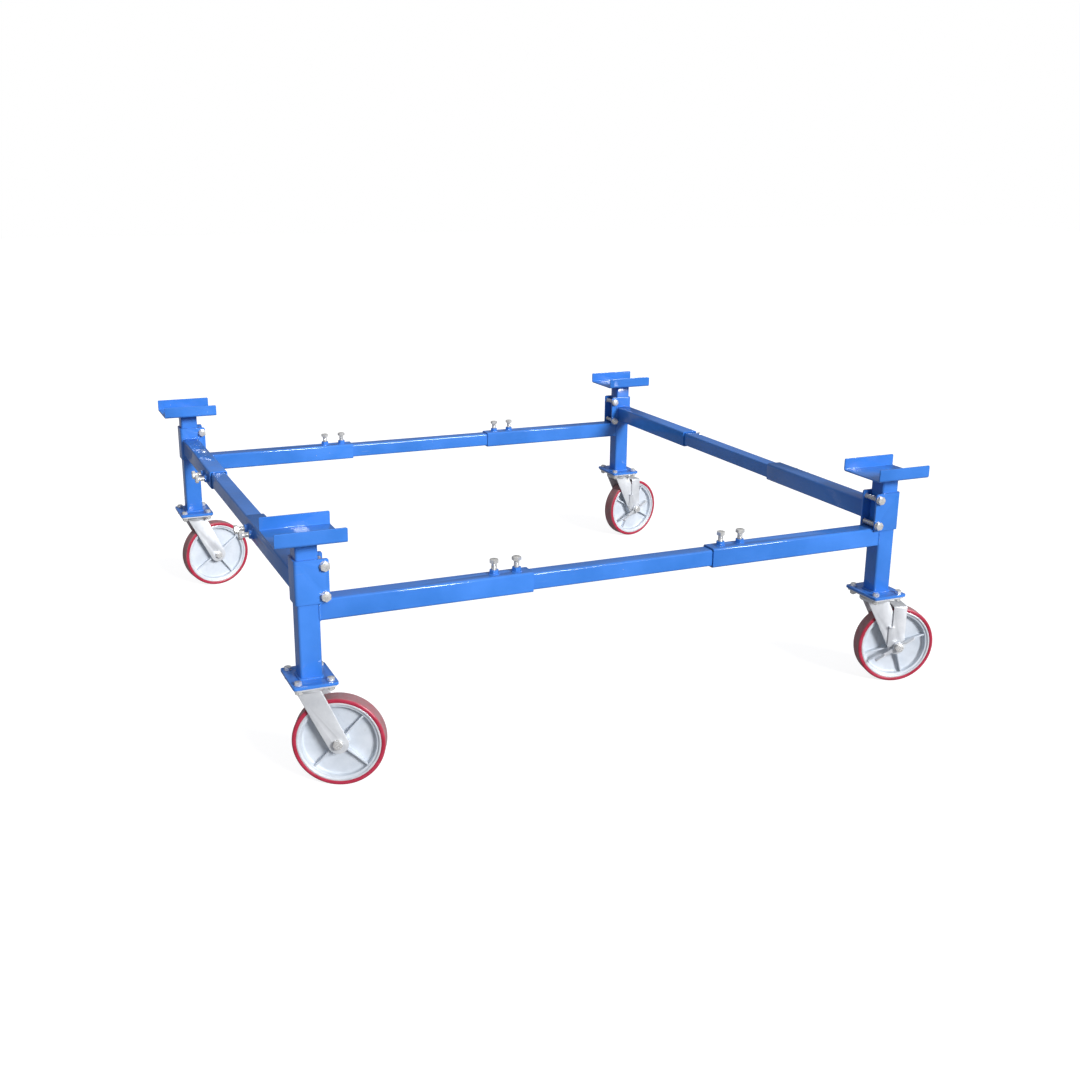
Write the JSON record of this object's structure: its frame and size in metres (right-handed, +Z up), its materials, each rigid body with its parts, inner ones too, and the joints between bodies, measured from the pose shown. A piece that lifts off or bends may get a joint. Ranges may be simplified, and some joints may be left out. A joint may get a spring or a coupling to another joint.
{
  "type": "adjustable rolling support frame",
  "caption": "Rolling support frame: corner posts with channel saddles on swivel casters, joined by telescoping square-tube rails that lock with bolts.",
  "frame": {"origin": "middle of the footprint, on the floor", "axes": "+Z up; +X along the front rail to the viewer's right; +Y from the front rail to the rear rail"},
  "size_m": [2.1632, 2.0084, 0.736],
  "materials": {
    "blue_gloss_paint": "gloss enamel over welded steel tube",
    "zinc_plated_steel": "bright zinc plate on pressed steel",
    "grey_painted_iron": "light grey paint over an iron casting",
    "red_polyurethane": "moulded polyurethane, dusty on the rolling face",
    "plated_fasteners": "bright plated bolts, nuts and washers"
  },
  "bodies": {
    "front_left_corner": {"post_front_left": "blue_gloss_paint", "x_sleeve_front_left": "blue_gloss_paint", "side_arm_front_left": "blue_gloss_paint", "saddle_front_left": "blue_gloss_paint", "clamp_bolts_front_left": "plated_fasteners", "plate_bolts_front_left": "plated_fasteners", "caster_plate_front_left": "zinc_plated_steel"},
    "front_left_fork": {"fork_front_left": "zinc_plated_steel", "axle_front_left": "plated_fasteners"},
    "front_left_wheel": {"wheel_core_front_left": "grey_painted_iron", "tread_front_left": "red_polyurethane"},
    "front_left_x_locks": {"x_lock_bolts_front_left": "plated_fasteners"},
    "front_left_y_locks": {"y_lock_bolts_front_left": "plated_fasteners"},
    "front_right_corner": {"post_front_right": "blue_gloss_paint", "x_sleeve_front_right": "blue_gloss_paint", "side_arm_front_right": "blue_gloss_paint", "saddle_front_right": "blue_gloss_paint", "clamp_bolts_front_right": "plated_fasteners", "plate_bolts_front_right": "plated_fasteners", "caster_plate_front_right": "zinc_plated_steel"},
    "front_right_fork": {"fork_front_right": "zinc_plated_steel", "axle_front_right": "plated_fasteners"},
    "front_right_wheel": {"wheel_core_front_right": "grey_painted_iron", "tread_front_right": "red_polyurethane"},
    "front_right_x_locks": {"x_lock_bolts_front_right": "plated_fasteners"},
    "front_right_y_locks": {"y_lock_bolts_front_right": "plated_fasteners"},
    "front_right_brake_arm": {"brake_arm_front_right": "zinc_plated_steel"},
    "front_right_brake_lever": {"brake_lever_front_right": "zinc_plated_steel"},
    "rear_left_corner": {"post_rear_left": "blue_gloss_paint", "x_sleeve_rear_left": "blue_gloss_paint", "side_arm_rear_left": "blue_gloss_paint", "saddle_rear_left": "blue_gloss_paint", "clamp_bolts_rear_left": "plated_fasteners", "plate_bolts_rear_left": "plated_fasteners", "caster_plate_rear_left": "zinc_plated_steel"},
    "rear_left_fork": {"fork_rear_left": "zinc_plated_steel", "axle_rear_left": "plated_fasteners"},
    "rear_left_wheel": {"wheel_core_rear_left": "grey_painted_iron", "tread_rear_left": "red_polyurethane"},
    "rear_left_x_locks": {"x_lock_bolts_rear_left": "plated_fasteners"},
    "rear_left_y_locks": {"y_lock_bolts_rear_left": "plated_fasteners"},
    "rear_right_corner": {"post_rear_right": "blue_gloss_paint", "x_sleeve_rear_right": "blue_gloss_paint", "side_arm_rear_right": "blue_gloss_paint", "saddle_rear_right": "blue_gloss_paint", "clamp_bolts_rear_right": "plated_fasteners", "plate_bolts_rear_right": "plated_fasteners", "caster_plate_rear_right": "zinc_plated_steel"},
    "rear_right_fork": {"fork_rear_right": "zinc_plated_steel", "axle_rear_right": "plated_fasteners"},
    "rear_right_wheel": {"wheel_core_rear_right": "grey_painted_iron", "tread_rear_right": "red_polyurethane"},
    "rear_right_x_locks": {"x_lock_bolts_rear_right": "plated_fasteners"},
    "rear_right_y_locks": {"y_lock_bolts_rear_right": "plated_fasteners"},
    "rear_right_brake_arm": {"brake_arm_rear_right": "zinc_plated_steel"},
    "rear_right_brake_lever": {"brake_lever_rear_right": "zinc_plated_steel"},
    "front_tube": {"inner_tube_front": "blue_gloss_paint"},
    "rear_tube": {"inner_tube_rear": "blue_gloss_paint"},
    "left_tube": {"inner_tube_left": "blue_gloss_paint"},
    "right_tube": {"inner_tube_right": "blue_gloss_paint"}
  },
  "joints": [
    {"name": "width_slide", "type": "slide", "parent": "front_left_corner", "child": "front_right_corner", "axis": [1, 0, 0], "range_m": [-0.5, 0.3]},
    {"name": "depth_slide", "type": "slide", "parent": "front_left_corner", "child": "rear_left_corner", "axis": [0, 1, 0], "range_m": [-0.5, 0.3]},
    {"name": "rear_width_slide", "type": "slide", "parent": "rear_left_corner", "child": "rear_right_corner", "axis": [1, 0, 0], "range_m": [-0.5, 0.3]},
    {"name": "front_tube_slide", "type": "slide", "parent": "front_left_corner", "child": "front_tube", "axis": [1, 0, 0], "range_m": [-0.25, 0.15]},
    {"name": "rear_tube_slide", "type": "slide", "parent": "rear_left_corner", "child": "rear_tube", "axis": [1, 0, 0], "range_m": [-0.25, 0.15]},
    {"name": "left_tube_slide", "type": "slide", "parent": "front_left_corner", "child": "left_tube", "axis": [0, 1, 0], "range_m": [-0.25, 0.15]},
    {"name": "right_tube_slide", "type": "slide", "parent": "front_right_corner", "child": "right_tube", "axis": [0, 1, 0], "range_m": [-0.25, 0.15]},
    {"name": "front_left_swivel", "type": "hinge", "parent": "front_left_corner", "child": "front_left_fork", "pos_m": [-0.9866, -0.90381, 0.2916], "axis": [0, 0, 1], "continuous": true},
    {"name": "front_left_wheel_spin", "type": "hinge", "parent": "front_left_fork", "child": "front_left_wheel", "pos_m": [-0.91756, -0.93311, 0.127], "axis": [0.3907, 0.9205, 0], "continuous": true},
    {"name": "front_left_x_lock_travel", "type": "slide", "parent": "front_left_corner", "child": "front_left_x_locks", "axis": [0, 0, 1], "range_m": [0, 0.012]},
    {"name": "front_left_y_lock_travel", "type": "slide", "parent": "front_left_corner", "child": "front_left_y_locks", "axis": [-1, 0, 0], "range_m": [0, 0.012]},
    {"name": "front_right_swivel", "type": "hinge", "parent": "front_right_corner", "child": "front_right_fork", "pos_m": [0.8794, -0.90381, 0.2916], "axis": [0, 0, 1], "continuous": true},
    {"name": "front_right_wheel_spin", "type": "hinge", "parent": "front_right_fork", "child": "front_right_wheel", "pos_m": [0.95112, -0.92574, 0.127], "axis": [0.2924, 0.9563, 0], "continuous": true},
    {"name": "front_right_x_lock_travel", "type": "slide", "parent": "front_right_corner", "child": "front_right_x_locks", "axis": [0, 0, 1], "range_m": [0, 0.012]},
    {"name": "front_right_y_lock_travel", "type": "slide", "parent": "front_right_corner", "child": "front_right_y_locks", "axis": [1, 0, 0], "range_m": [0, 0.012]},
    {"name": "front_right_brake_shoe_drop", "type": "slide", "parent": "front_right_fork", "child": "front_right_brake_arm", "axis": [0, 0, -1], "range_m": [0, 0.004]},
    {"name": "front_right_brake_press", "type": "hinge", "parent": "front_right_fork", "child": "front_right_brake_lever", "pos_m": [0.95112, -0.92574, 0.127], "axis": [0.2924, 0.9563, 0], "range_deg": [0, 60.5]},
    {"name": "rear_left_swivel", "type": "hinge", "parent": "rear_left_corner", "child": "rear_left_fork", "pos_m": [-0.9866, 0.91419, 0.2916], "axis": [0, 0, 1], "continuous": true},
    {"name": "rear_left_wheel_spin", "type": "hinge", "parent": "rear_left_fork", "child": "rear_left_wheel", "pos_m": [-0.91274, 0.92722, 0.127], "axis": [-0.1736, 0.9848, 0], "continuous": true},
    {"name": "rear_left_x_lock_travel", "type": "slide", "parent": "rear_left_corner", "child": "rear_left_x_locks", "axis": [0, 0, 1], "range_m": [0, 0.012]},
    {"name": "rear_left_y_lock_travel", "type": "slide", "parent": "rear_left_corner", "child": "rear_left_y_locks", "axis": [-1, 0, 0], "range_m": [0, 0.012]},
    {"name": "rear_right_swivel", "type": "hinge", "parent": "rear_right_corner", "child": "rear_right_fork", "pos_m": [0.8794, 0.91419, 0.2916], "axis": [0, 0, 1], "continuous": true},
    {"name": "rear_right_wheel_spin", "type": "hinge", "parent": "rear_right_fork", "child": "rear_right_wheel", "pos_m": [0.95302, 0.9285, 0.127], "axis": [-0.1908, 0.9816, 0], "continuous": true},
    {"name": "rear_right_x_lock_travel", "type": "slide", "parent": "rear_right_corner", "child": "rear_right_x_locks", "axis": [0, 0, 1], "range_m": [0, 0.012]},
    {"name": "rear_right_y_lock_travel", "type": "slide", "parent": "rear_right_corner", "child": "rear_right_y_locks", "axis": [1, 0, 0], "range_m": [0, 0.012]},
    {"name": "rear_right_brake_shoe_drop", "type": "slide", "parent": "rear_right_fork", "child": "rear_right_brake_arm", "axis": [0, 0, -1], "range_m": [0, 0.004]},
    {"name": "rear_right_brake_press", "type": "hinge", "parent": "rear_right_fork", "child": "rear_right_brake_lever", "pos_m": [0.95302, 0.9285, 0.127], "axis": [-0.1908, 0.9816, 0], "range_deg": [0, 60.5]}
  ],
  "couplings": [
    {"joint": "rear_width_slide", "follows": "width_slide", "ratio": 1},
    {"joint": "front_tube_slide", "follows": "width_slide", "ratio": 0.5},
    {"joint": "rear_tube_slide", "follows": "width_slide", "ratio": 0.5},
    {"joint": "left_tube_slide", "follows": "depth_slide", "ratio": 0.5},
    {"joint": "right_tube_slide", "follows": "depth_slide", "ratio": 0.5},
    {"joint": "front_right_brake_press", "follows": "front_right_brake_shoe_drop", "rad_per_m": 261.8},
    {"joint": "rear_right_brake_press", "follows": "rear_right_brake_shoe_drop", "rad_per_m": 261.8}
  ]
}
